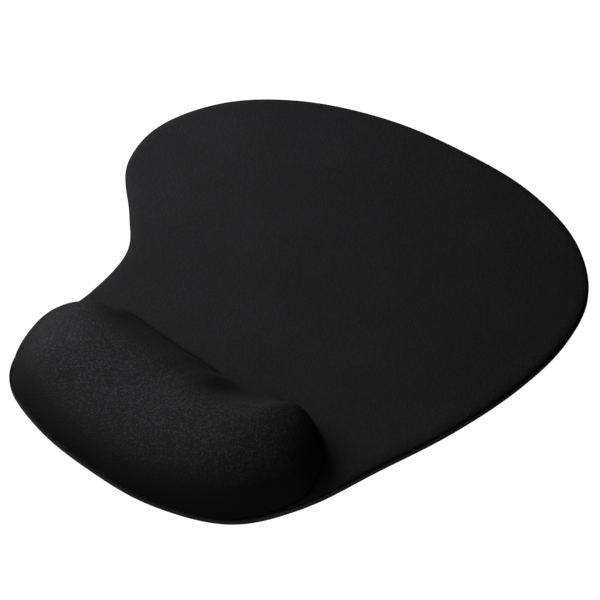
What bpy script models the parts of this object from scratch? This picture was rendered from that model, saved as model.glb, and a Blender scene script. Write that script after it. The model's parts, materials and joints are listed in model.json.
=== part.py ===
"""Mouse mat with an integrated gel wrist rest.

A soft laminated mat lies flat on the desk. Along its front edge a gel pad rises under the
stretched knit cover and carries the wrist. From the desk up, the mat is a non-slip base, an
adhesive film, a foam sheet, a second adhesive film and the knit cover. The gel core is sealed
in a pouch of two films, whose flange is trapped under the edge of the foam's window.

The front of the mat faces -Y, its length runs along +Y, and the desk is the plane z = 0.
Adhesive bond lines are modelled as gaps, because the layers are separate pieces.
"""

import math

import bmesh
import bpy
from mathutils import Vector
from mathutils.geometry import interpolate_bezier

MM = 0.001

# Layer thicknesses, and the bond line that separates touching layers.
BOND_LINE = 0.25 * MM
BASE_THICKNESS = 0.6 * MM
FILM_THICKNESS = 0.1 * MM
FOAM_THICKNESS = 1.1 * MM
COVER_THICKNESS = 0.5 * MM

# Heights of the layers' undersides above the desk.
BASE_Z = 0.0
BASE_BOND_Z = BASE_Z + BASE_THICKNESS + BOND_LINE
FOAM_Z = BASE_BOND_Z + FILM_THICKNESS + BOND_LINE
COVER_BOND_Z = FOAM_Z + FOAM_THICKNESS + BOND_LINE
COVER_Z = COVER_BOND_Z + FILM_THICKNESS + BOND_LINE
FLAT_TOP_Z = COVER_Z + COVER_THICKNESS
FLANGE_Z = FOAM_Z + FILM_THICKNESS + BOND_LINE

# Outline of the mat, in millimetres, counterclockwise from the middle of its front edge.
MAT_OUTLINE = [
    (18, -114.5),  # front edge, under the wrist
    (47, -112.5),
    (73.5, -101),  # front right corner
    (87, -78),
    (94, -47),  # right edge, nearly straight
    (100.5, -16),
    (103.5, 17),
    (101, 49),
    (90, 78),  # far right corner
    (66, 100),
    (34, 112),
    (0, 114.5),  # far edge
    (-36, 111),
    (-70, 98),
    (-94, 76),  # far left lobe
    (-103.5, 46),
    (-95, 18),
    (-73, -3),
    (-55.5, -22),  # thumb notch
    (-48.5, -50),
    (-48.5, -77),  # left end of the rest
    (-36.5, -101),  # front left corner
    (-11, -111.5),
]
OUTLINE_STEPS = 4  # straight facets between two of these points

# Footprint of the rest. It follows the mat's front edge a lip's width inside it, from the
# left end round to the front right corner, and then has its own right end and rear line.
LIP = 2.2 * MM
LIP_FIRST, LIP_LAST = 20, 25  # the outline's points that it follows, counted round
REST_REAR = [
    (83, -79),  # right end
    (81, -65),
    (74, -54),
    (60, -46),
    (44, -45),
    (26, -48.5),  # middle of the rear, where the rest fades into the mat
    (9, -53.5),
    (-12, -53),
    (-31, -52.5),
    (-43.5, -60),  # rear left corner
]
FOOTPRINT_STEPS = 5

# Crown line of the rest: its two ends, and its height above the desk along it.
CROWN_LEFT = Vector((-13, -80)) * MM
CROWN_RIGHT = Vector((55, -80)) * MM
CROWN_HEIGHTS = (21.5 * MM, 20.4 * MM, 21.0 * MM)  # left, middle and right
DOME_RINGS = 9  # rings of facets from the footprint up to the crown line

# Rear of the rest: steep at its two ends and gentle between them.
FADE_X = 36 * MM
FADE_HALF_WIDTH = 24 * MM

# The gel pouch under the cover.
POUCH_DEPTH = COVER_THICKNESS + BOND_LINE
GEL_DEPTH = POUCH_DEPTH + FILM_THICKNESS + BOND_LINE
FLANGE_WIDTH = 1.8 * MM
WINDOW_INSET = 0.5 * MM  # foam window and film window, inside the footprint

COLLECTION_NAME = "wrist_rest_mat"
CUTTER_COLLECTION_NAME = "cutters"


def clear_scene():
    for old in list(bpy.data.objects):
        bpy.data.objects.remove(old, do_unlink=True)


def new_collection(name):
    collection = bpy.data.collections.new(name)
    bpy.context.scene.collection.children.link(collection)
    return collection


def make_material(name, colour, roughness, alpha=1.0):
    material = bpy.data.materials.new(name)
    material.use_nodes = True
    shader = material.node_tree.nodes["Principled BSDF"]
    shader.inputs["Base Color"].default_value = (*colour, 1.0)
    shader.inputs["Roughness"].default_value = roughness
    shader.inputs["Metallic"].default_value = 0.0
    shader.inputs["Alpha"].default_value = alpha
    return material


def smooth_loop(points, steps):
    """A smooth closed curve through the points, with so many facets from each to the next."""
    count = len(points)
    loop = []
    for i, here in enumerate(points):
        before = points[i - 1]
        after = points[(i + 1) % count]
        beyond = points[(i + 2) % count]
        leaving = here + (after - before) / 6
        arriving = after - (beyond - here) / 6
        loop += interpolate_bezier(here, leaving, arriving, after, steps + 1)[:-1]
    return [Vector(point[:2]) for point in loop]


def inset(loop, distance):
    """The counterclockwise loop moved inwards, or outwards where distance is negative."""
    count = len(loop)
    moved = []
    for i, here in enumerate(loop):
        along = (loop[(i + 1) % count] - loop[i - 1]).normalized()
        moved.append(here + Vector((-along.y, along.x)) * distance)
    return moved


def mat_points():
    return [Vector(point) * MM for point in MAT_OUTLINE]


def rest_footprint():
    """The line where the rest rises out of the mat, starting at its rear left corner."""
    outline = mat_points()
    inner = inset(outline, LIP)
    front = [inner[i % len(inner)] for i in range(LIP_FIRST, LIP_LAST + 1)]
    rear = [Vector(point) * MM for point in REST_REAR]
    return smooth_loop([rear[-1]] + front + rear[:-1], FOOTPRINT_STEPS)


def smooth_step(t):
    t = min(max(t, 0.0), 1.0)
    return t * t * (3 - 2 * t)


def crown_point(near, far):
    """The point of the crown line that two opposite points of the footprint rise to."""
    middle_x = (near.x + far.x) / 2
    share = (middle_x - CROWN_LEFT.x) / (CROWN_RIGHT.x - CROWN_LEFT.x)
    share = min(max(share, 0.0), 1.0)
    place = CROWN_LEFT.lerp(CROWN_RIGHT, share)
    left, middle, right = CROWN_HEIGHTS
    end = left if share < 0.5 else right
    height = end + (middle - end) * smooth_step(1 - abs(2 * share - 1))
    return Vector((place.x, place.y, height))


def fade(point):
    """How gently the rest rises at this point of its footprint, from 0 to 1."""
    if point.y < CROWN_LEFT.y:
        return 0.0
    return smooth_step(1 - abs(point.x - FADE_X) / FADE_HALF_WIDTH)


def dome_rings(footprint):
    """Rings of points on the rest's outer surface, from the footprint to the crown line."""
    count = len(footprint)
    crown = [crown_point(footprint[i], footprint[-i]) for i in range(count)]
    rings = []
    for k in range(DOME_RINGS + 1):
        turn = k / DOME_RINGS
        steep_in = 1 - math.cos(turn * math.pi / 2)
        steep_up = math.sin(turn * math.pi / 2)
        ring = []
        for foot, top in zip(footprint, crown):
            gentle = fade(foot)
            inward = steep_in + (turn - steep_in) * gentle
            upward = steep_up + (smooth_step(turn) - steep_up) * gentle
            place = foot.lerp(top.xy, inward)
            height = FLAT_TOP_Z + (top.z - FLAT_TOP_Z) * upward
            ring.append(Vector((place.x, place.y, height)))
        rings.append(ring)
    return rings


def flat_ring(loop, z):
    return [Vector((point.x, point.y, z)) for point in loop]


def loft(name, rings):
    """A surface through rings of equal length, closed where the last one folds on itself."""
    mesh = bpy.data.meshes.new(name)
    surface = bmesh.new()
    rows = [[surface.verts.new(point) for point in ring] for ring in rings]
    for lower, upper in zip(rows, rows[1:]):
        for i in range(len(lower)):
            j = (i + 1) % len(lower)
            surface.faces.new((lower[i], lower[j], upper[j], upper[i]))
    bmesh.ops.remove_doubles(surface, verts=surface.verts, dist=0.01 * MM)
    surface.to_mesh(mesh)
    surface.free()
    return mesh


def sunk(rings, depth):
    """The rings above the footprint, moved into the dome along its surface's normals."""
    mesh = loft("guide", rings)
    surface = bmesh.new()
    surface.from_mesh(mesh)
    surface.normal_update()
    lookup = {}
    for vert in surface.verts:
        lookup[tuple(round(value / MM, 3) for value in vert.co)] = vert.normal.copy()
    moved = []
    for ring in rings[1:]:
        row = []
        for point in ring:
            normal = lookup[tuple(round(value / MM, 3) for value in point)]
            row.append(point - normal * depth)
        moved.append(row)
    surface.free()
    bpy.data.meshes.remove(mesh)
    return moved


def flat_sheet(name, loops, z, thickness, collection):
    """A level sheet whose first loop is its edge and whose other loops are windows in it."""
    curve = bpy.data.curves.new(name, "CURVE")
    curve.dimensions = "2D"
    curve.fill_mode = "BOTH"
    curve.extrude = thickness / 2
    for loop in loops:
        spline = curve.splines.new("POLY")
        spline.points.add(len(loop) - 1)
        for node, point in zip(spline.points, loop):
            node.co = (point.x, point.y, 0.0, 1.0)
        spline.use_cyclic_u = True
    sheet = bpy.data.objects.new(name, curve)
    sheet.location.z = z + thickness / 2
    collection.objects.link(sheet)
    return sheet


def as_mesh(curved, collection):
    """The filled curve turned into a mesh object of the same name, with its caps welded."""
    name = curved.name
    bpy.context.view_layer.update()
    evaluated = curved.evaluated_get(bpy.context.evaluated_depsgraph_get())
    mesh = bpy.data.meshes.new_from_object(evaluated)
    place = curved.matrix_world.copy()
    bpy.data.objects.remove(curved, do_unlink=True)
    surface = bmesh.new()
    surface.from_mesh(mesh)
    bmesh.ops.remove_doubles(surface, verts=surface.verts, dist=0.01 * MM)
    surface.to_mesh(mesh)
    surface.free()
    solid = bpy.data.objects.new(name, mesh)
    solid.matrix_world = place
    collection.objects.link(solid)
    return solid


def add_solidify(piece, thickness):
    """Gives an open surface its thickness, inwards from the side that its faces show."""
    shell = piece.modifiers.new("Thickness", "SOLIDIFY")
    shell.thickness = thickness
    shell.offset = -1.0
    shell.use_even_offset = True
    return shell


def finish_piece(piece, material):
    piece.data.materials.clear()
    piece.data.materials.append(material)
    return piece


def build_base(outline, collection):
    sheet = flat_sheet("nonslip_base", [outline], BASE_Z, BASE_THICKNESS, collection)
    return finish_piece(sheet, make_material("base_rubber", (0.016, 0.016, 0.017), 0.75))


def build_base_bond(outline, collection):
    sheet = flat_sheet("base_bond_film", [outline], BASE_BOND_Z, FILM_THICKNESS, collection)
    return finish_piece(sheet, make_material("base_adhesive", (0.55, 0.53, 0.47), 0.4, 0.6))


def build_cover_bond(outline, footprint, collection):
    window = inset(footprint, WINDOW_INSET)
    loops = [outline, window]
    sheet = flat_sheet("cover_bond_film", loops, COVER_BOND_Z, FILM_THICKNESS, collection)
    return finish_piece(sheet, make_material("cover_adhesive", (0.55, 0.53, 0.47), 0.4, 0.6))


def flange_edge(footprint):
    """Outer edge of the pouch's flange, which runs outwards from the wall of the pouch."""
    return inset(footprint, POUCH_DEPTH - FLANGE_WIDTH)


def build_foam(outline, footprint, collection, cutters):
    """Foam sheet with a window for the pouch, and a rebate under it for the pouch's flange."""
    window = inset(footprint, WINDOW_INSET)
    sheet = flat_sheet("foam_core", [outline, window], FOAM_Z, FOAM_THICKNESS, collection)
    foam = as_mesh(sheet, collection)
    rebate_edge = inset(footprint, POUCH_DEPTH - FLANGE_WIDTH - BOND_LINE)
    rebate_top = FLANGE_Z + FILM_THICKNESS + BOND_LINE
    rebate_height = rebate_top - BASE_BOND_Z
    cutter = flat_sheet("flange_rebate", [rebate_edge], BASE_BOND_Z, rebate_height, cutters)
    cutter = as_mesh(cutter, cutters)
    cutter.hide_render = True
    cutter.display_type = "WIRE"
    cut = foam.modifiers.new("Flange rebate", "BOOLEAN")
    cut.operation = "DIFFERENCE"
    cut.solver = "EXACT"
    cut.object = cutter
    return finish_piece(foam, make_material("foam", (0.03, 0.03, 0.032), 0.9))


def build_pouch_bottom(footprint, collection):
    edge = flange_edge(footprint)
    sheet = flat_sheet("gel_pouch_bottom", [edge], FOAM_Z, FILM_THICKNESS, collection)
    return finish_piece(sheet, make_material("pouch_film_bottom", (0.5, 0.52, 0.55), 0.25, 0.5))


def build_pouch_top(footprint, rings, collection):
    """Formed film: a flange, a short wall through the foam's window, and the dome."""
    flange_top = FLANGE_Z + FILM_THICKNESS
    edge = flat_ring(flange_edge(footprint), flange_top)
    foot = flat_ring(inset(footprint, POUCH_DEPTH), flange_top)
    mesh = loft("gel_pouch_top", [edge, foot] + sunk(rings, POUCH_DEPTH))
    pouch = bpy.data.objects.new("gel_pouch_top", mesh)
    collection.objects.link(pouch)
    add_solidify(pouch, FILM_THICKNESS)
    return finish_piece(pouch, make_material("pouch_film_top", (0.5, 0.52, 0.55), 0.25, 0.5))


def build_gel(footprint, rings, collection):
    """The gel fills the pouch, and its flat underside lies on the pouch's lower film."""
    foot = flat_ring(inset(footprint, GEL_DEPTH), FLANGE_Z)
    mesh = loft("gel_core", [foot] + sunk(rings, GEL_DEPTH))
    surface = bmesh.new()
    surface.from_mesh(mesh)
    rim = [edge for edge in surface.edges if edge.is_boundary]
    bmesh.ops.contextual_create(surface, geom=rim)
    surface.to_mesh(mesh)
    surface.free()
    gel = bpy.data.objects.new("gel_core", mesh)
    collection.objects.link(gel)
    return finish_piece(gel, make_material("gel", (0.25, 0.45, 0.62), 0.15, 0.7))


def build_cover(outline, footprint, rings, collection):
    """Knit cover: flat over the foam and formed over the gel pouch, in one sheet."""
    flat = flat_sheet("fabric_cover", [outline, footprint], FLAT_TOP_Z, 0.0, collection)
    cover = as_mesh(flat, collection)
    surface = bmesh.new()
    surface.from_mesh(cover.data)
    bmesh.ops.translate(surface, verts=surface.verts, vec=(0, 0, cover.location.z))
    dome = loft("dome", rings)
    surface.from_mesh(dome)
    bpy.data.meshes.remove(dome)
    bmesh.ops.remove_doubles(surface, verts=surface.verts, dist=0.01 * MM)
    surface.to_mesh(cover.data)
    surface.free()
    cover.location.z = 0.0
    add_solidify(cover, COVER_THICKNESS)
    return finish_piece(cover, make_material("knit_cover", (0.012, 0.012, 0.013), 0.85))


def build():
    clear_scene()
    collection = new_collection(COLLECTION_NAME)
    cutters = new_collection(CUTTER_COLLECTION_NAME)
    outline = smooth_loop(mat_points(), OUTLINE_STEPS)
    footprint = rest_footprint()
    rings = dome_rings(footprint)
    build_base(outline, collection)
    build_base_bond(outline, collection)
    build_pouch_bottom(footprint, collection)
    build_pouch_top(footprint, rings, collection)
    build_gel(footprint, rings, collection)
    build_foam(outline, footprint, collection, cutters)
    build_cover_bond(outline, footprint, collection)
    build_cover(outline, footprint, rings, collection)


build()
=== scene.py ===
"""Looks of the mouse mat with its gel wrist rest.

Every CAD layer is replaced by a finer piece in the same place. The CAD's outline and the
footprint of its rest give smooth curves, from which all the pieces are cut. The rest's knit
skin starts from the CAD's dome, eased behind its left half, and is stretched by a cloth
simulation. The gel pouch under it follows the result.
"""

import json
import math

import bmesh
import bpy
import numpy as np
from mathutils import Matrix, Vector, kdtree
from mathutils.bvhtree import BVHTree
from mathutils.geometry import delaunay_2d_cdt, interpolate_bezier, intersect_point_line


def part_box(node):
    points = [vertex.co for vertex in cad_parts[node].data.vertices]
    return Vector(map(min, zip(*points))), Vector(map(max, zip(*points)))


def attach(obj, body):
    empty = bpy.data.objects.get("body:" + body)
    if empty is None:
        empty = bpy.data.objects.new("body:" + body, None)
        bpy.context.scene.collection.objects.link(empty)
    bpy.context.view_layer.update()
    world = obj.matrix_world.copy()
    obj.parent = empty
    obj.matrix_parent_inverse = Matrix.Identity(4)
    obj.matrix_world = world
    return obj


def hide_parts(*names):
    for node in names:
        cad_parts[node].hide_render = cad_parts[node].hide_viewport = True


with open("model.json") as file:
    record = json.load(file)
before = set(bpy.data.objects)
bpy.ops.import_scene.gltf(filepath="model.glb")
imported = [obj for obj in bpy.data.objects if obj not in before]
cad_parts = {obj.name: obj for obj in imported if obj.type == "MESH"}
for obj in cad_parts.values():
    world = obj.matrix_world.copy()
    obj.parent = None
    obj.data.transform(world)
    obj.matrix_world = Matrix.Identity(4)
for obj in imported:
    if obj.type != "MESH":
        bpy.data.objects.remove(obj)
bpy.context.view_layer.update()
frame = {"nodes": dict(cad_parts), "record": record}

MM = 0.001

# Heights that the CAD's layers give.
FLAT_TOP = frame["record"]["mounts"][1]["pos_m"][2]
BASE_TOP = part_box("nonslip_base")[1].z
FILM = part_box("base_bond_film")[1].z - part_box("base_bond_film")[0].z
BOND_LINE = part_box("base_bond_film")[0].z - BASE_TOP
COVER = FLAT_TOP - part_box("cover_bond_film")[1].z - BOND_LINE

# The real layers are bonded, so these pieces close the CAD's bond lines to a hair.
HAIR = 0.03 * MM
FOAM_BOTTOM = BASE_TOP + HAIR + FILM + HAIR
FLANGE_BOTTOM = FOAM_BOTTOM + FILM + HAIR
REBATE_TOP = FLANGE_BOTTOM + FILM + HAIR
COVER_BOND_TOP = FLAT_TOP - COVER - HAIR
FOAM_TOP = COVER_BOND_TOP - FILM - HAIR

# The cut edge: the top rolls down towards it, the knit's own corner is round, and the films
# of adhesive stop short of it.
RIM_DROP = 0.85 * MM
RIM_WIDTH = 5.5 * MM
RIM_POWER = 3.5
CORNER_RADIUS = 0.4 * MM
RIM_INSETS = [0.1 * MM, 0.4 * MM, 0.9 * MM, 1.6 * MM, 2.6 * MM, 3.8 * MM, 5.2 * MM]
ADHESIVE_SETBACK = 0.4 * MM

# The foot of the rest. In front the full gel bulges out over the lip.
LIP = 0.9 * MM
BULGE_FADE = 6.0 * MM
BULGE_REACH = 14.0 * MM

# Behind its left half the foot lies further back, and the wall rises as a gentle slope. The
# rear of the foot is where it faces backwards by more than REAR_FACING.
REAR_BULGE = 5.0 * MM
REAR_LEFT = -42.0 * MM
REAR_RIGHT = 26.0 * MM
REAR_FADE = 18.0 * MM
REAR_SLOPE = 0.8
SLOPE_LEFT = -44.0 * MM
SLOPE_RIGHT = 42.0 * MM
SLOPE_FADE = 24.0 * MM
BLEND_POWER = 6.0
REAR_FACING = 0.5
LEAST_SHARE = 0.01

# The knit is pressed down into a groove at the foot where the rest rises steeply. The pouch's
# rim, the foam's window and its rebate follow the foot.
FILLET = 0.25 * MM
FILLET_POWER = 1.5
GROOVE_DEPTH = 1.0 * MM
GROOVE_WIDTH = 0.55 * MM
STEEP_INSET = 1.0 * MM
STEEP_RISE = 3.0 * MM
FOOT_INSETS = [0.25 * MM, 0.5 * MM, 1.0 * MM, 1.6 * MM, 2.4 * MM, 3.4 * MM, 4.6 * MM, 6.0 * MM]
FOOT_OUTSETS = [0.25 * MM, 0.5 * MM, 1.2 * MM]
POUCH_INSET = FOOT_INSETS[1]
WINDOW_INSET = 0.3 * MM
FLANGE_OUTSET = 0.4 * MM
REBATE_OUTSET = 0.45 * MM

# The knit's thickness lies squarely to its surface from this height above the flat.
SQUARE_RISE = 0.8 * MM

# Meshes: how finely curves are cut, how close points may come, and what counts as level.
OUTLINE_REFINE = 4
ROW_REFINE = 4
FOOT_SAMPLES = 4
EDGE_SAMPLES = 4
RING_CLEARANCE = 0.35 * MM
WINDOW_CLEARANCE = 0.25 * MM
GRID_PITCH = 2.0 * MM
COARSE_PITCH = 8.0 * MM
GRID_CLEARANCE = 0.62
WELD = 0.005 * MM
LEVEL = 0.01 * MM
CDT_TOLERANCE = 1e-8
SHARP_ANGLE = math.radians(40)

# The cloth simulation, in units of a centimetre. The knit starts a little too low over the
# rest, is held softly by the gel and is pushed up by a light pressure.
SIM_SCALE = 100.0
SIM_FRAMES = 20
SIM_QUALITY = 6
SIM_PRESSURE = 0.25
TENSION = 12
COMPRESSION = 8
BENDING = 0.6
GEL_HOLD = 0.5
GEL_STIFFNESS = 1.0
DOME_START = 0.985

# The tread under the mat.
TREAD = 0.2 * MM
STUD_PITCH = 5.0 * MM
STUD_RADIUS = 1.25 * MM
STUD_TIP_RADIUS = 1.05 * MM
STUD_SIDES = 8
STUD_MARGIN = 2.2 * MM

# The knit: its painted shade for steep sides, its colours between the loops and on them, the heights
# over which its loops open on the rest, and the upward parts of its normal between which the painted
# shade fades out.
KNIT_PAINTED_SHADE = (0.0032, 0.0032, 0.0036, 1)
KNIT_GROUND = (0.0074, 0.0074, 0.0083, 1)
KNIT_LOOPS = (0.031, 0.031, 0.0335, 1)
LOOPS_PER_METRE = 1150.0
LOOP_STRETCH = (1.0, 1.25, 1.0)
OPENING_FROM = 3.6 * MM
OPENING_TO = 9 * MM
STEEP_NORMAL = 0.68
LEVEL_NORMAL = 0.99


def stretch(before, here, after, beyond, steps):
    """Points from here up to just before the next one, on a smooth curve through all four."""
    leaving = here + (after - before) / 6
    arriving = after - (beyond - here) / 6
    curve = interpolate_bezier(here, leaving, arriving, after, steps + 1)
    return [Vector(point) for point in curve[:-1]]


def smooth_loop(points, steps):
    """A smooth closed curve through the points, with so many facets from each to the next."""
    count = len(points)
    loop = []
    for i, here in enumerate(points):
        loop += stretch(points[i - 1], here, points[(i + 1) % count], points[(i + 2) % count], steps)
    return loop


def smooth_line(points, steps):
    """A smooth curve from the second point to the last but one."""
    line = []
    for four in zip(points, points[1:], points[2:], points[3:]):
        line += stretch(*four, steps)
    return line + [points[-2]]


def inwards(loop):
    """The direction into the counterclockwise loop at each of its points."""
    count = len(loop)
    directions = []
    for i in range(count):
        along = (loop[(i + 1) % count] - loop[i - 1]).normalized()
        directions.append(Vector((-along.y, along.x)))
    return directions


def inset(loop, distance):
    """The loop moved inwards, or outwards where distance is negative."""
    return [point + direction * distance for point, direction in zip(loop, inwards(loop))]


def inside(points, loop):
    """Which of the points lie inside the closed loop."""
    x, y = np.array([point[:2] for point in points]).T
    corners = np.array([point[:2] for point in loop])
    found = np.zeros(len(x), bool)
    for (ax, ay), (bx, by) in zip(corners, np.roll(corners, -1, axis=0)):
        if ay != by:
            spans = (ay > y) != (by > y)
            found ^= spans & (x < ax + (y - ay) * (bx - ax) / (by - ay))
    return found


def tree_of(points):
    tree = kdtree.KDTree(len(points))
    for i, point in enumerate(points):
        tree.insert((point[0], point[1], 0), i)
    tree.balance()
    return tree


def distances(points, tree):
    """How far each point is from the nearest in the tree, seen from above."""
    return np.array([tree.find((point[0], point[1], 0))[2] for point in points])


def nearest(points, tree):
    """Which point in the tree is nearest to each of the others."""
    return np.array([tree.find((point[0], point[1], 0))[1] for point in points])


def smooth_step(share):
    share = np.clip(share, 0, 1)
    return share**2 * (3 - 2 * share)


def along_rear(points, left, right, fade):
    """1 along a stretch of the rest's rear, fading to 0 at its ends."""
    across = np.array([point[0] for point in points])
    return smooth_step(np.minimum(across - left, right - across) / fade)


def welded(node):
    """A bmesh of a CAD node with its split vertices joined again."""
    surface = bmesh.new()
    surface.from_mesh(frame["nodes"][node].data)
    bmesh.ops.remove_doubles(surface, verts=surface.verts, dist=WELD)
    return surface


def is_level(face, z):
    return all(abs(vert.co.z - z) < LEVEL for vert in face.verts)


def in_order(edges):
    """The places of the edges' vertices in order, round a closed loop or along a chain."""
    ways = {}
    for edge in edges:
        first, second = edge.verts
        ways.setdefault(first, []).append(second)
        ways.setdefault(second, []).append(first)
    ends = [vert for vert, others in ways.items() if len(others) == 1]
    start = ends[0] if ends else edges[0].verts[0]
    before, here, chain = None, start, []
    while here is not None:
        chain.append(here.co.copy())
        onward = [vert for vert in ways[here] if vert != before and vert != start]
        before, here = here, onward[0] if onward else None
    return chain


def loop_area(loop):
    return 0.5 * sum(a.xy.cross(b.xy) for a, b in zip(loop, loop[1:] + loop[:1]))


def counterclockwise(loop):
    return loop if loop_area(loop) > 0 else loop[::-1]


def turned(ring, steps):
    return ring[steps:] + ring[:steps]


def best_turn(ring, points):
    """How far to turn the ring, so that each of its points lies by its own of the others."""
    def misfit(steps):
        return sum((a - b).length for a, b in zip(turned(ring, steps), points))
    return min(range(len(ring)), key=misfit)


def level_border(surface, z):
    """The edges where the faces at that height meet the others."""
    edges = []
    for edge in surface.edges:
        levels = [is_level(face, z) for face in edge.link_faces]
        if levels.count(True) == 1:
            edges.append(edge)
    return edges


def mat_outline():
    surface = welded("nonslip_base")
    corners = counterclockwise(in_order(level_border(surface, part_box("nonslip_base")[0].z)))
    surface.free()
    return smooth_loop([corner.xy for corner in corners], OUTLINE_REFINE)


def nearest_on(chain, point):
    """The place on the open chain that is nearest to the point, seen from above."""
    places = []
    for a, b in zip(chain, chain[1:]):
        share = intersect_point_line(point.xy, a.xy, b.xy)[1]
        places.append(a.lerp(b, min(max(share, 0.0), 1.0)))
    return min(places, key=lambda place: (place.xy - point.xy).length)


def rest_rows():
    """The dome of the rest in the CAD, as rings of points from its footprint to its crown line."""
    surface = welded("fabric_cover")
    lowest = FLAT_TOP + LEVEL
    edges = []
    for edge in level_border(surface, FLAT_TOP):
        if any(vert.co.z > lowest for face in edge.link_faces for vert in face.verts):
            edges.append(edge)
    level = {vert for edge in edges for vert in edge.verts}
    seen = set()
    rows = []
    while edges:
        row = in_order(edges)
        if len(edges) < len(row):
            row = [nearest_on(row, point) for point in rows[-1]]
        elif rows:
            row = counterclockwise(row)
            row = turned(row, best_turn(row, rows[-1]))
        rows.append(row if rows else counterclockwise(row))
        seen |= level
        level = {edge.other_vert(vert) for vert in level for edge in vert.link_edges} - seen
        level = {vert for vert in level if vert.co.z > lowest}
        edges = [edge for edge in surface.edges if level.issuperset(edge.verts)]
    surface.free()
    return rows


def fine_dome(rows):
    """A tree for rays of a smooth surface through the CAD's rows."""
    rings = [smooth_loop(row, OUTLINE_REFINE) for row in rows]
    count = len(rings[0])
    columns = []
    for i in range(count):
        column = [ring_points[i] for ring_points in rings]
        before = column[0] * 2 - column[1]
        across = column[-1].xy * 2 - column[-2].xy
        mirrored = across.to_3d() + Vector((0, 0, column[-2].z))
        columns.append(smooth_line([before, *column, mirrored], ROW_REFINE))
    height = len(columns[0])
    faces = []
    for i in range(count):
        j = (i + 1) % count
        for k in range(height - 1):
            faces.append((i * height + k, j * height + k, j * height + k + 1, i * height + k + 1))
    points = [point for column in columns for point in column]
    return BVHTree.FromPolygons(points, faces)


def heights_on(tree, points):
    """The height of the dome under each point, and the flat's where there is none."""
    heights = []
    for point in points:
        hit = tree.ray_cast(Vector((point.x, point.y, 1)), Vector((0, 0, -1)))[0]
        heights.append(max(hit.z, FLAT_TOP) if hit else FLAT_TOP)
    return np.array(heights)


def grid_points(loop, pitch):
    """Points of a triangular grid inside the loop."""
    low_x, high_x = min(point.x for point in loop), max(point.x for point in loop)
    low_y, high_y = min(point.y for point in loop), max(point.y for point in loop)
    row_pitch = pitch * math.sin(math.radians(60))
    points = []
    for row in range(int((high_y - low_y) / row_pitch) + 1):
        for column in range(int((high_x - low_x) / pitch) + 1):
            x = low_x + (column + 0.5 * (row % 2)) * pitch
            points.append(Vector((x, low_y + row * row_pitch)))
    return [point for point, here in zip(points, inside(points, loop)) if here]


def filled_in(loose, loops, pitch):
    """The loose points, and a grid over the first loop where none of the others is close."""
    taken = tree_of(loose + [point for loop in loops for point in loop])
    grid = grid_points(loops[0], pitch)
    gaps = distances(grid, taken)
    return loose + [point for point, gap in zip(grid, gaps) if gap > GRID_CLEARANCE * pitch]


def triangulate(loops, loose, hole=None):
    """Triangles over the first loop, with every loop's edges kept, less those in the hole.

    Returns the points, the triangles, and each loop as indices of points.
    """
    points, edges, starts = [], [], []
    for loop in loops:
        start = len(points)
        starts.append(start)
        points += loop
        edges += [(start + i, start + (i + 1) % len(loop)) for i in range(len(loop))]
    made, _, faces, origins, _, _ = delaunay_2d_cdt(points + loose, edges, [], 0, CDT_TOLERANCE)
    place = {old: new for new, olds in enumerate(origins) for old in olds}
    centres = [(made[a] + made[b] + made[c]) / 3 for a, b, c in faces]
    kept = inside(centres, loops[0])
    if hole is not None:
        kept &= ~inside(centres, hole)
    faces = [tuple(face) for face, keep in zip(faces, kept) if keep]
    indices = [[place[start + i] for i in range(len(loop))] for start, loop in zip(starts, loops)]
    return [point.copy() for point in made], faces, indices


def patch(surface, points, faces):
    """Adds the triangles, and returns the new vertices by their points' indices."""
    verts = {i: surface.verts.new(points[i]) for i in sorted({i for face in faces for i in face})}
    for face in faces:
        surface.faces.new([verts[i] for i in face])
    return verts


def ring(surface, loop, z):
    """Adds a ring of vertices over the loop, at one height or at each point's own."""
    heights = z if hasattr(z, "__len__") else [z] * len(loop)
    return [surface.verts.new((*point[:2], height)) for point, height in zip(loop, heights)]


def band(surface, first, second):
    """Joins two rings of equally many vertices."""
    count = len(first)
    for i in range(count):
        j = (i + 1) % count
        surface.faces.new((first[i], first[j], second[j], second[i]))


def finished(name, surface):
    """An object from the closed bmesh, smooth apart from its real corners."""
    bmesh.ops.recalc_face_normals(surface, faces=surface.faces)
    mesh = bpy.data.meshes.new(name)
    surface.to_mesh(mesh)
    surface.free()
    mesh.shade_smooth()
    mesh.set_sharp_from_angle(angle=SHARP_ANGLE)
    piece = bpy.data.objects.new(name, mesh)
    bpy.context.scene.collection.objects.link(piece)
    return piece


def at_height(points, z):
    """The points with a height, or with each its own."""
    plan = np.array([point[:2] for point in points])
    return np.column_stack([plan, np.broadcast_to(z, len(plan))])


def vertex_normals(points, faces):
    a, b, c = points[np.array(faces)].transpose(1, 0, 2)
    across = np.cross(b - a, c - a)
    normals = np.zeros_like(points)
    for corner in np.array(faces).T:
        np.add.at(normals, corner, across)
    normals *= np.sign(normals[:, 2].sum())
    return normals / np.linalg.norm(normals, axis=1)[:, None]


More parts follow.
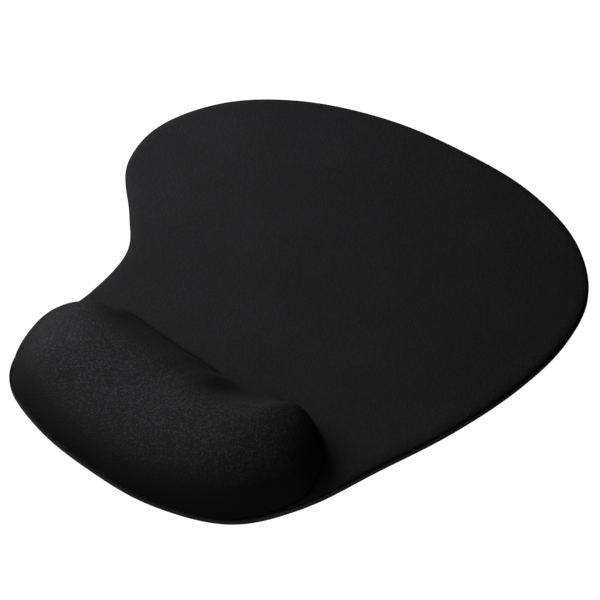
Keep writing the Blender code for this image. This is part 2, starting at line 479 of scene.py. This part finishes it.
def inflate(points, faces, foot):
    """The rest's skin after a cloth simulation, with its foot held fast and gel under it."""
    mesh = bpy.data.meshes.new("inflating")
    mesh.from_pydata((points * SIM_SCALE).tolist(), [], faces)
    skin = bpy.data.objects.new("inflating", mesh)
    bpy.context.scene.collection.objects.link(skin)
    held = skin.vertex_groups.new(name="held")
    held.add(range(len(points)), GEL_HOLD, "REPLACE")
    held.add(foot, 1.0, "REPLACE")
    cloth = skin.modifiers.new("Cloth", "CLOTH")
    cloth.settings.quality = SIM_QUALITY
    cloth.settings.tension_stiffness = TENSION
    cloth.settings.compression_stiffness = COMPRESSION
    cloth.settings.bending_stiffness = BENDING
    cloth.settings.use_pressure = True
    cloth.settings.uniform_pressure_force = SIM_PRESSURE
    cloth.settings.vertex_group_mass = "held"
    cloth.settings.pin_stiffness = GEL_STIFFNESS
    cloth.settings.effector_weights.gravity = 0
    cloth.collision_settings.use_collision = False
    cloth.point_cache.frame_end = SIM_FRAMES
    scene = bpy.context.scene
    for number in range(1, SIM_FRAMES + 1):
        scene.frame_set(number)
    shape = skin.evaluated_get(bpy.context.evaluated_depsgraph_get())
    inflated = np.zeros(len(points) * 3)
    shape.data.vertices.foreach_get("co", inflated)
    scene.frame_set(1)
    bpy.data.objects.remove(skin)
    return inflated.reshape(-1, 3) / SIM_SCALE


class Rest:
    """Where the rest stands on the mat, and how high it rises."""

    def __init__(self, edge_tree):
        rows = rest_rows()
        self.dome = fine_dome(rows)
        line = smooth_loop([corner.xy for corner in rows[0]], OUTLINE_REFINE)
        lips = distances(line, edge_tree)
        bulge = (lips.min() - LIP) * smooth_step(1 - (lips - lips.min()) / BULGE_FADE)
        out = -np.array(inwards(line))
        at_rear = out[:, 1] > REAR_FACING
        rear = along_rear(line, REAR_LEFT, REAR_RIGHT, REAR_FADE) * at_rear
        self.push = out * (bulge + REAR_BULGE * rear)[:, None]
        self.footprint = [Vector(point) for point in np.array(line) + self.push]
        foot = smooth_loop(self.footprint, FOOT_SAMPLES)
        self.foot_tree = tree_of(foot)
        self.rear_tree = tree_of([p for i, p in enumerate(foot) if at_rear[i // FOOT_SAMPLES]])
        rise = heights_on(self.dome, inset(line, STEEP_INSET)) - FLAT_TOP
        self.steep = np.clip(rise / STEEP_RISE, 0, 1)

    def rise(self, points):
        """How far the CAD's dome stands above the flat, bulged out and eased at its rear."""
        gaps = distances(points, self.foot_tree)
        near_foot = np.clip(1 - gaps / BULGE_REACH, 0, 1) ** 2
        foot = nearest(points, self.foot_tree) // FOOT_SAMPLES
        sources = [Vector(point) for point in np.array(points) - self.push[foot] * near_foot[:, None]]
        rise = np.maximum(heights_on(self.dome, sources) - FLAT_TOP, HAIR)
        eased = np.maximum(along_rear(points, SLOPE_LEFT, SLOPE_RIGHT, SLOPE_FADE), LEAST_SHARE)
        limit = np.maximum(REAR_SLOPE / eased * distances(points, self.rear_tree), HAIR)
        rise = (rise**-BLEND_POWER + limit**-BLEND_POWER) ** (-1 / BLEND_POWER)
        return rise * (1 - np.exp(-((gaps / FILLET) ** FILLET_POWER)))


class Press:
    """How far the bonded layers are pressed down, at the cut edge and round the rest."""

    def __init__(self, edge_tree, rest):
        self.edge_tree = edge_tree
        self.rest = rest

    def __call__(self, points):
        share = np.minimum(distances(points, self.edge_tree) / RIM_WIDTH, 1)
        rim = RIM_DROP * (1 - share) ** RIM_POWER
        gaps = distances(points, self.rest.foot_tree)
        depth = GROOVE_DEPTH * self.rest.steep[nearest(points, self.rest.foot_tree) // FOOT_SAMPLES]
        return rim + depth * np.exp(-((gaps / GROOVE_WIDTH) ** 2))


class Skin:
    """The knit's top surface, without the round corner of its cut edge."""

    def __init__(self, outline, edge_tree, rest, press):
        self.plan_mesh(outline, rest.footprint, edge_tree, rest.foot_tree)
        self.raise_dome(rest, press)

    def plan_mesh(self, outline, footprint, edge_tree, foot_tree):
        rim = [point for distance in RIM_INSETS for point in inset(outline, distance)]
        covered = inside(rim, footprint)
        gaps = distances(rim, foot_tree)
        loose = [p for p, hidden, gap in zip(rim, covered, gaps) if not hidden and gap > RING_CLEARANCE]
        for distance in FOOT_OUTSETS:
            ring_points = inset(footprint, -distance)
            gaps = distances(ring_points, edge_tree)
            loose += [p for p, gap in zip(ring_points, gaps) if gap > distance + 2 * RING_CLEARANCE]
        loops = [outline, footprint] + [inset(footprint, distance) for distance in FOOT_INSETS]
        loose = filled_in(loose, loops, GRID_PITCH)
        self.plan, self.faces, (self.rim, self.foot, *self.foot_rings) = triangulate(loops, loose)
        self.pouch_rim = self.foot_rings[FOOT_INSETS.index(POUCH_INSET)]

    def faces_inside(self, loop):
        centres = [(self.plan[a] + self.plan[b] + self.plan[c]) / 3 for a, b, c in self.faces]
        return [face for face, here in zip(self.faces, inside(centres, loop)) if here]

    def raise_dome(self, rest, press):
        dome = inside(self.plan, rest.footprint)
        dome[self.foot] = False
        level = FLAT_TOP - press(self.plan)
        self.points = at_height(self.plan, level + np.where(dome, rest.rise(self.plan), 0))
        self.inflate_dome(rest.footprint)
        normals = vertex_normals(self.points, self.faces)
        square = np.clip((self.points[:, 2] - level) / SQUARE_RISE, 0, 1)[:, None]
        down = -(normals * square + np.array((0, 0, 1)) * (1 - square))
        self.down = down / np.linalg.norm(down, axis=1)[:, None]

    def inflate_dome(self, footprint):
        faces = self.faces_inside(footprint)
        used = sorted({i for face in faces for i in face})
        order = {old: new for new, old in enumerate(used)}
        start = self.points[used]
        level = start[:, 2].min()
        start[:, 2] = level + (start[:, 2] - level) * DOME_START
        start[[order[i] for i in self.foot]] = self.points[self.foot]
        faces = [[order[i] for i in face] for face in faces]
        self.points[used] = inflate(start, faces, [order[i] for i in self.foot])

    def sunk(self, depth):
        """The surface moved in, straight down on the flat and squarely to itself on the rest."""
        return self.points + self.down * depth

    def pouch_surface(self, depth):
        """The surface sunk by that depth, with the pouch's rim drawn in where it is deeper."""
        points = self.sunk(depth)
        rim = [self.plan[i] for i in self.pouch_rim]
        drawn_in = depth - COVER - HAIR
        points[self.pouch_rim, :2] += np.array(inwards(rim)) * drawn_in
        return points


def layer(name, loop, bottom, top):
    """A plain level sheet."""
    plan, faces, (rim,) = triangulate([loop], filled_in([], [loop], COARSE_PITCH))
    surface = bmesh.new()
    upper = patch(surface, at_height(plan, top), faces)
    lower = patch(surface, at_height(plan, bottom), faces)
    band(surface, [upper[i] for i in rim], [lower[i] for i in rim])
    return finished(name, surface)


def windowed_plan(loop, window, outline, footprint):
    """Points and triangles of a sheet with a window for the rest."""
    loose = [point for distance in RIM_INSETS for point in inset(outline, distance)]
    loose += [point for distance in [0.0] + FOOT_OUTSETS for point in inset(footprint, -distance)]
    within = inside(loose, loop) & ~inside(loose, window)
    gaps = np.minimum(distances(loose, tree_of(window)), distances(loose, tree_of(loop)))
    loose = [p for p, here, gap in zip(loose, within, gaps) if here and gap > WINDOW_CLEARANCE]
    loose = filled_in(loose, [loop, window], COARSE_PITCH)
    return triangulate([loop, window], loose, hole=window)


def make_cover(skin, outline):
    """The knit: one sheet over the flat and the rest, with a round corner at its cut edge."""
    gaps = np.minimum(distances(skin.plan, tree_of(smooth_loop(outline, EDGE_SAMPLES))), CORNER_RADIUS)
    gaps[skin.rim] = 0
    corner = CORNER_RADIUS - np.sqrt(CORNER_RADIUS**2 - (CORNER_RADIUS - gaps) ** 2)
    top = skin.points - np.outer(corner, (0, 0, 1))
    surface = bmesh.new()
    upper = patch(surface, top, skin.faces)
    lower = patch(surface, skin.sunk(COVER), skin.faces)
    band(surface, [upper[i] for i in skin.rim], [lower[i] for i in skin.rim])
    return finished("knit_cover", surface)


def make_cover_adhesive(outline, footprint, press):
    """The film that bonds the knit to the foam."""
    loop = inset(outline, ADHESIVE_SETBACK)
    window = inset(footprint, WINDOW_INSET)
    plan, faces, loops = windowed_plan(loop, window, outline, footprint)
    top = COVER_BOND_TOP - press(plan)
    surface = bmesh.new()
    upper = patch(surface, at_height(plan, top), faces)
    lower = patch(surface, at_height(plan, top - FILM), faces)
    for indices in loops:
        band(surface, [upper[i] for i in indices], [lower[i] for i in indices])
    return finished("cover_adhesive", surface)


def make_foam(outline, footprint, press):
    """The foam sheet, with a window for the gel and a rebate for the pouch's flange under it."""
    window = inset(footprint, WINDOW_INSET)
    rebate = inset(footprint, -REBATE_OUTSET)
    plan, faces, (rim, hole) = windowed_plan(outline, window, outline, footprint)
    surface = bmesh.new()
    upper = patch(surface, at_height(plan, FOAM_TOP - press(plan)), faces)
    lower_plan, lower_faces, lower_loops = windowed_plan(outline, rebate, outline, footprint)
    lower_rim, lower_hole = lower_loops
    lower = patch(surface, at_height(lower_plan, FOAM_BOTTOM), lower_faces)
    band(surface, [upper[i] for i in rim], [lower[i] for i in lower_rim])
    rebate_ring = ring(surface, rebate, REBATE_TOP)
    window_ring = ring(surface, window, REBATE_TOP)
    band(surface, [lower[i] for i in lower_hole], rebate_ring)
    band(surface, rebate_ring, window_ring)
    band(surface, window_ring, [upper[i] for i in hole])
    return finished("foam_sheet", surface)


def make_pouch_top(skin, footprint):
    """The gel pouch's moulded film: its dome, its short wall and its flange."""
    faces = skin.faces_inside([skin.plan[i] for i in skin.pouch_rim])
    outer_points = skin.pouch_surface(COVER + HAIR)
    inner_points = skin.pouch_surface(COVER + HAIR + FILM)
    flange = inset(footprint, -FLANGE_OUTSET)
    surface = bmesh.new()
    outer = patch(surface, outer_points, faces)
    inner = patch(surface, inner_points, faces)
    rings = [
        [outer[i] for i in skin.pouch_rim],
        ring(surface, outer_points[skin.pouch_rim], FLANGE_BOTTOM + FILM),
        ring(surface, flange, FLANGE_BOTTOM + FILM),
        ring(surface, flange, FLANGE_BOTTOM),
        ring(surface, inner_points[skin.pouch_rim], FLANGE_BOTTOM),
        [inner[i] for i in skin.pouch_rim],
    ]
    for first, second in zip(rings, rings[1:]):
        band(surface, first, second)
    return finished("pouch_top_film", surface)


def make_gel(skin):
    """The gel, which fills the pouch."""
    faces = skin.faces_inside([skin.plan[i] for i in skin.pouch_rim])
    top = skin.pouch_surface(COVER + HAIR + FILM + HAIR)
    surface = bmesh.new()
    upper = patch(surface, top, faces)
    lower = patch(surface, at_height(top, FLANGE_BOTTOM), faces)
    band(surface, [upper[i] for i in skin.pouch_rim], [lower[i] for i in skin.pouch_rim])
    return finished("gel_filling", surface)


def circle(centre, radius, sides):
    angles = [2 * math.pi * i / sides for i in range(sides)]
    return [centre + Vector((math.cos(angle), math.sin(angle))) * radius for angle in angles]


def make_base(outline, edge_tree):
    """The rubber base with its tread of low round studs."""
    centres = grid_points(outline, STUD_PITCH)
    gaps = distances(centres, edge_tree)
    centres = [centre for centre, gap in zip(centres, gaps) if gap > STUD_MARGIN]
    studs = [circle(centre, STUD_RADIUS, STUD_SIDES) for centre in centres]
    plan, faces, (rim, *stud_rims) = triangulate([outline] + studs, [])
    middles = [(plan[a] + plan[b] + plan[c]) / 3 for a, b, c in faces]
    inner_radius = STUD_RADIUS * math.cos(math.pi / STUD_SIDES)
    clear = distances(middles, tree_of(centres)) > inner_radius
    surface = bmesh.new()
    lower = patch(surface, at_height(plan, TREAD), [f for f, keep in zip(faces, clear) if keep])
    for centre, stud_rim in zip(centres, stud_rims):
        tip = ring(surface, circle(centre, STUD_TIP_RADIUS, STUD_SIDES), 0)
        band(surface, [lower[i] for i in stud_rim], tip)
        surface.faces.new(tip)
    top_plan, top_faces, (top_rim,) = triangulate([outline], filled_in([], [outline], COARSE_PITCH))
    upper = patch(surface, at_height(top_plan, BASE_TOP), top_faces)
    band(surface, [upper[i] for i in top_rim], [lower[i] for i in rim])
    return finished("rubber_base", surface)


def add_node(tree, kind, inputs, **settings):
    """A shader node. Each input is a value, or the output socket that it is joined to."""
    node = tree.nodes.new("ShaderNode" + kind)
    for name, value in settings.items():
        setattr(node, name, value)
    for name, value in inputs.items():
        if isinstance(value, bpy.types.NodeSocket):
            tree.links.new(value, node.inputs[name])
        else:
            node.inputs[name].default_value = value
    return node


def new_material(name, roughness, **fixed):
    """A material with a Principled shader, and the object's own coordinates in metres."""
    material = bpy.data.materials.new(name)
    material.use_nodes = True
    shader = material.node_tree.nodes["Principled BSDF"]
    shader.inputs["Roughness"].default_value = roughness
    for socket, value in fixed.items():
        shader.inputs[socket.replace("_", " ")].default_value = value
    place = add_node(material.node_tree, "TexCoord", {}).outputs["Object"]
    return material, material.node_tree, shader, place


def noise(tree, place, scale, detail=2.0):
    node = add_node(tree, "TexNoise", {"Vector": place, "Scale": scale, "Detail": detail})
    return node.outputs["Fac"]


def math_node(tree, operation, first, second=0.0):
    return add_node(tree, "Math", {0: first, 1: second}, operation=operation).outputs[0]


def remap(tree, value, low, high, to_low=0.0, to_high=1.0):
    inputs = {"Value": value, "From Min": low, "From Max": high, "To Min": to_low, "To Max": to_high}
    return add_node(tree, "MapRange", inputs).outputs["Result"]


def blend_colours(tree, factor, dark, light):
    node = add_node(tree, "Mix", {"Factor": factor, "A": dark, "B": light}, data_type="RGBA")
    return node.outputs["Result"]


def bump(tree, shader, height, distance, strength=1.0):
    node = add_node(tree, "Bump", {"Height": height, "Distance": distance, "Strength": strength})
    tree.links.new(node.outputs["Normal"], shader.inputs["Normal"])


def knit_material():
    """Black weft knit: closed on the flat, opened over the rest, with painted shade darkening its steep
    sides.
    """
    material, tree, shader, place = new_material("black_knit", 0.9, Specular_IOR_Level=0.08)
    mapping = add_node(tree, "Mapping", {"Vector": place, "Scale": LOOP_STRETCH})
    spread = {"Vector": mapping.outputs["Vector"], "Scale": LOOPS_PER_METRE, "Randomness": 0.8}
    loops = add_node(tree, "TexVoronoi", spread)
    height = add_node(tree, "SeparateXYZ", {"Vector": place}).outputs["Z"]
    on_rest = remap(tree, height, OPENING_FROM, OPENING_TO, 0.3, 1.0)
    centre = remap(tree, loops.outputs["Distance"], 0.65, 0.15)
    chance = add_node(tree, "SeparateColor", {"Color": loops.outputs["Color"]}).outputs[0]
    chosen = math_node(tree, "POWER", chance, 1.2)
    speckle = math_node(tree, "MULTIPLY", math_node(tree, "MULTIPLY", centre, chosen), on_rest)
    shade = remap(tree, noise(tree, place, 30.0), 0.3, 0.7, -0.05, 0.05)
    factor = math_node(tree, "ADD", speckle, shade)
    colour = blend_colours(tree, factor, KNIT_GROUND, KNIT_LOOPS)
    # Painted shade: the colour turns darker the more steeply the surface faces sideways, whatever the
    # lamps do.
    facing = add_node(tree, "TexCoord", {}).outputs["Normal"]
    level = add_node(tree, "SeparateXYZ", {"Vector": facing}).outputs["Z"]
    free_of_painted_shade = remap(tree, level, STEEP_NORMAL, LEVEL_NORMAL)
    colour = blend_colours(tree, free_of_painted_shade, KNIT_PAINTED_SHADE, colour)
    tree.links.new(colour, shader.inputs["Base Color"])
    fibres = noise(tree, place, 4200.0, 3.0)
    relief = math_node(tree, "ADD", centre, math_node(tree, "MULTIPLY", fibres, 0.6))
    bump(tree, shader, relief, 0.12 * MM, 0.6)
    return material


def rubber_material():
    """Matt black rubber with a slight bloom."""
    material, tree, shader, place = new_material("base_rubber", 0.72)
    bloom = remap(tree, noise(tree, place, 60.0, 4.0), 0.35, 0.75)
    colour = blend_colours(tree, bloom, (0.006, 0.006, 0.006, 1), (0.011, 0.011, 0.0105, 1))
    tree.links.new(colour, shader.inputs["Base Color"])
    bump(tree, shader, noise(tree, place, 2600.0, 3.0), 0.04 * MM)
    return material


def foam_material():
    """Closed-cell black foam, whose cut edge shows its cells."""
    material, tree, shader, place = new_material("black_foam", 0.9)
    cells = add_node(tree, "TexVoronoi", {"Vector": place, "Scale": 2200.0}).outputs["Distance"]
    colour = blend_colours(tree, cells, (0.004, 0.004, 0.004, 1), (0.012, 0.012, 0.0125, 1))
    tree.links.new(colour, shader.inputs["Base Color"])
    bump(tree, shader, cells, 0.12 * MM)
    return material


def adhesive_material():
    """A dull hot-melt film with a cloudy, fibrous look."""
    material, tree, shader, place = new_material("adhesive_film", 0.45)
    clouds = noise(tree, place, 140.0, 5.0)
    colour = blend_colours(tree, clouds, (0.46, 0.43, 0.36, 1), (0.62, 0.60, 0.54, 1))
    tree.links.new(colour, shader.inputs["Base Color"])
    bump(tree, shader, noise(tree, place, 900.0, 2.0), 0.03 * MM)
    return material


def film_material():
    """The clear polyurethane film of the gel pouch, faintly wrinkled."""
    material, tree, shader, place = new_material("pouch_film", 0.2, Transmission_Weight=0.7, IOR=1.5)
    haze = noise(tree, place, 90.0, 3.0)
    colour = blend_colours(tree, haze, (0.62, 0.66, 0.70, 1), (0.80, 0.83, 0.86, 1))
    tree.links.new(colour, shader.inputs["Base Color"])
    bump(tree, shader, haze, 0.05 * MM)
    return material


def gel_material():
    """Soft blue gel, slightly cloudy, with a few small bubbles near its skin."""
    material, tree, shader, place = new_material("gel", 0.12, Transmission_Weight=0.5, IOR=1.42)
    clouds = noise(tree, place, 45.0, 3.0)
    bubbles = add_node(tree, "TexVoronoi", {"Vector": place, "Scale": 260.0}).outputs["Distance"]
    small = remap(tree, bubbles, 0.16, 0.08)
    factor = math_node(tree, "ADD", clouds, small)
    colour = blend_colours(tree, factor, (0.16, 0.36, 0.55, 1), (0.34, 0.55, 0.70, 1))
    tree.links.new(colour, shader.inputs["Base Color"])
    bump(tree, shader, small, 0.2 * MM)
    return material


def dress(piece, material, node):
    """Gives the piece its material, and puts it in its CAD node's place."""
    piece.data.materials.append(material)
    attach(piece, "root")
    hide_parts(node)
    return piece


def make_mat():
    outline = mat_outline()
    edge_tree = tree_of(smooth_loop(outline, EDGE_SAMPLES))
    rest = Rest(edge_tree)
    footprint = rest.footprint
    press = Press(edge_tree, rest)
    skin = Skin(outline, edge_tree, rest, press)
    flange = inset(footprint, -FLANGE_OUTSET)
    adhesive = adhesive_material()
    film = film_material()

    base_film_loop = inset(outline, ADHESIVE_SETBACK)
    base_film_bottom = BASE_TOP + HAIR
    dress(make_base(outline, edge_tree), rubber_material(), "nonslip_base")
    base_adhesive = layer("base_adhesive", base_film_loop, base_film_bottom, base_film_bottom + FILM)
    dress(base_adhesive, adhesive, "base_bond_film")
    pouch_bottom = layer("pouch_bottom_film", flange, FOAM_BOTTOM, FOAM_BOTTOM + FILM)
    dress(pouch_bottom, film, "gel_pouch_bottom")
    pouch_top = dress(make_pouch_top(skin, footprint), film, "gel_pouch_top")
    gel = dress(make_gel(skin), gel_material(), "gel_core")
    foam = dress(make_foam(outline, footprint, press), foam_material(), "foam_core")
    cover_adhesive = make_cover_adhesive(outline, footprint, press)
    dress(cover_adhesive, adhesive, "cover_bond_film")
    cover = dress(make_cover(skin, outline), knit_material(), "fabric_cover")


# The camera, round a point on the desk near the mat's middle.
AIM = Vector((10.8 * MM, 3.8 * MM, 0))
CAMERA_AZIMUTH = math.radians(42.12)
CAMERA_ELEVATION = math.radians(39.94)
CAMERA_DISTANCE = 1.0
LENS = 159.6

# Three round lamps at the same distance from the mat, a faint sky and a white floor.
LAMP_DISTANCE = 0.45
LAMP_SIZE = 0.3
KEY_WATTS = 3.05
FRONT_WATTS = 1.4
FILL_WATTS = 0.75
SKY = 0.003
FLOOR_SIZE = 6.0


def direction(azimuth, elevation):
    """The direction to a place round the mat. Azimuth 0 is in front, and 90 degrees is at +X."""
    across = math.cos(elevation)
    return Vector((math.sin(azimuth) * across, -math.cos(azimuth) * across, math.sin(elevation)))


def make_camera():
    camera = bpy.data.objects.new("camera", bpy.data.cameras.new("camera"))
    bpy.context.scene.collection.objects.link(camera)
    towards = direction(CAMERA_AZIMUTH, CAMERA_ELEVATION)
    camera.location = AIM + towards * CAMERA_DISTANCE
    camera.rotation_euler = towards.to_track_quat("Z", "Y").to_euler()
    camera.data.lens = LENS
    bpy.context.scene.camera = camera


def make_light(name, azimuth, elevation, watts):
    light = bpy.data.lights.new(name, "AREA")
    light.shape = "DISK"
    light.size = LAMP_SIZE
    light.energy = watts
    lamp = bpy.data.objects.new(name, light)
    bpy.context.scene.collection.objects.link(lamp)
    towards = direction(math.radians(azimuth), math.radians(elevation))
    lamp.location = towards * LAMP_DISTANCE
    lamp.rotation_euler = towards.to_track_quat("Z", "Y").to_euler()


def make_floor():
    """A white floor that gives the object no light of its own."""
    bpy.ops.mesh.primitive_plane_add(size=FLOOR_SIZE, location=(0, 0, -HAIR))
    floor = bpy.context.object
    floor.name = "floor"
    material = bpy.data.materials.new("floor")
    material.use_nodes = True
    shader = material.node_tree.nodes["Principled BSDF"]
    shader.inputs["Base Color"].default_value = (0.1, 0.1, 0.1, 1)
    shader.inputs["Roughness"].default_value = 1.0
    shader.inputs["Specular IOR Level"].default_value = 0.0
    shader.inputs["Emission Color"].default_value = (1, 1, 1, 1)
    shader.inputs["Emission Strength"].default_value = 1.0
    floor.data.materials.append(material)
    floor.visible_diffuse = False
    floor.visible_glossy = False


def make_world():
    world = bpy.data.worlds.new("studio")
    world.use_nodes = True
    background = world.node_tree.nodes["Background"]
    background.inputs["Color"].default_value = (1, 1, 1, 1)
    background.inputs["Strength"].default_value = SKY
    bpy.context.scene.world = world


make_camera()
make_light("key", -88, 30, KEY_WATTS)
make_light("front", -50, 30, FRONT_WATTS)
make_light("fill", 45, 14, FILL_WATTS)
make_world()
make_floor()
make_mat()
bpy.context.scene.view_settings.view_transform = "Standard"
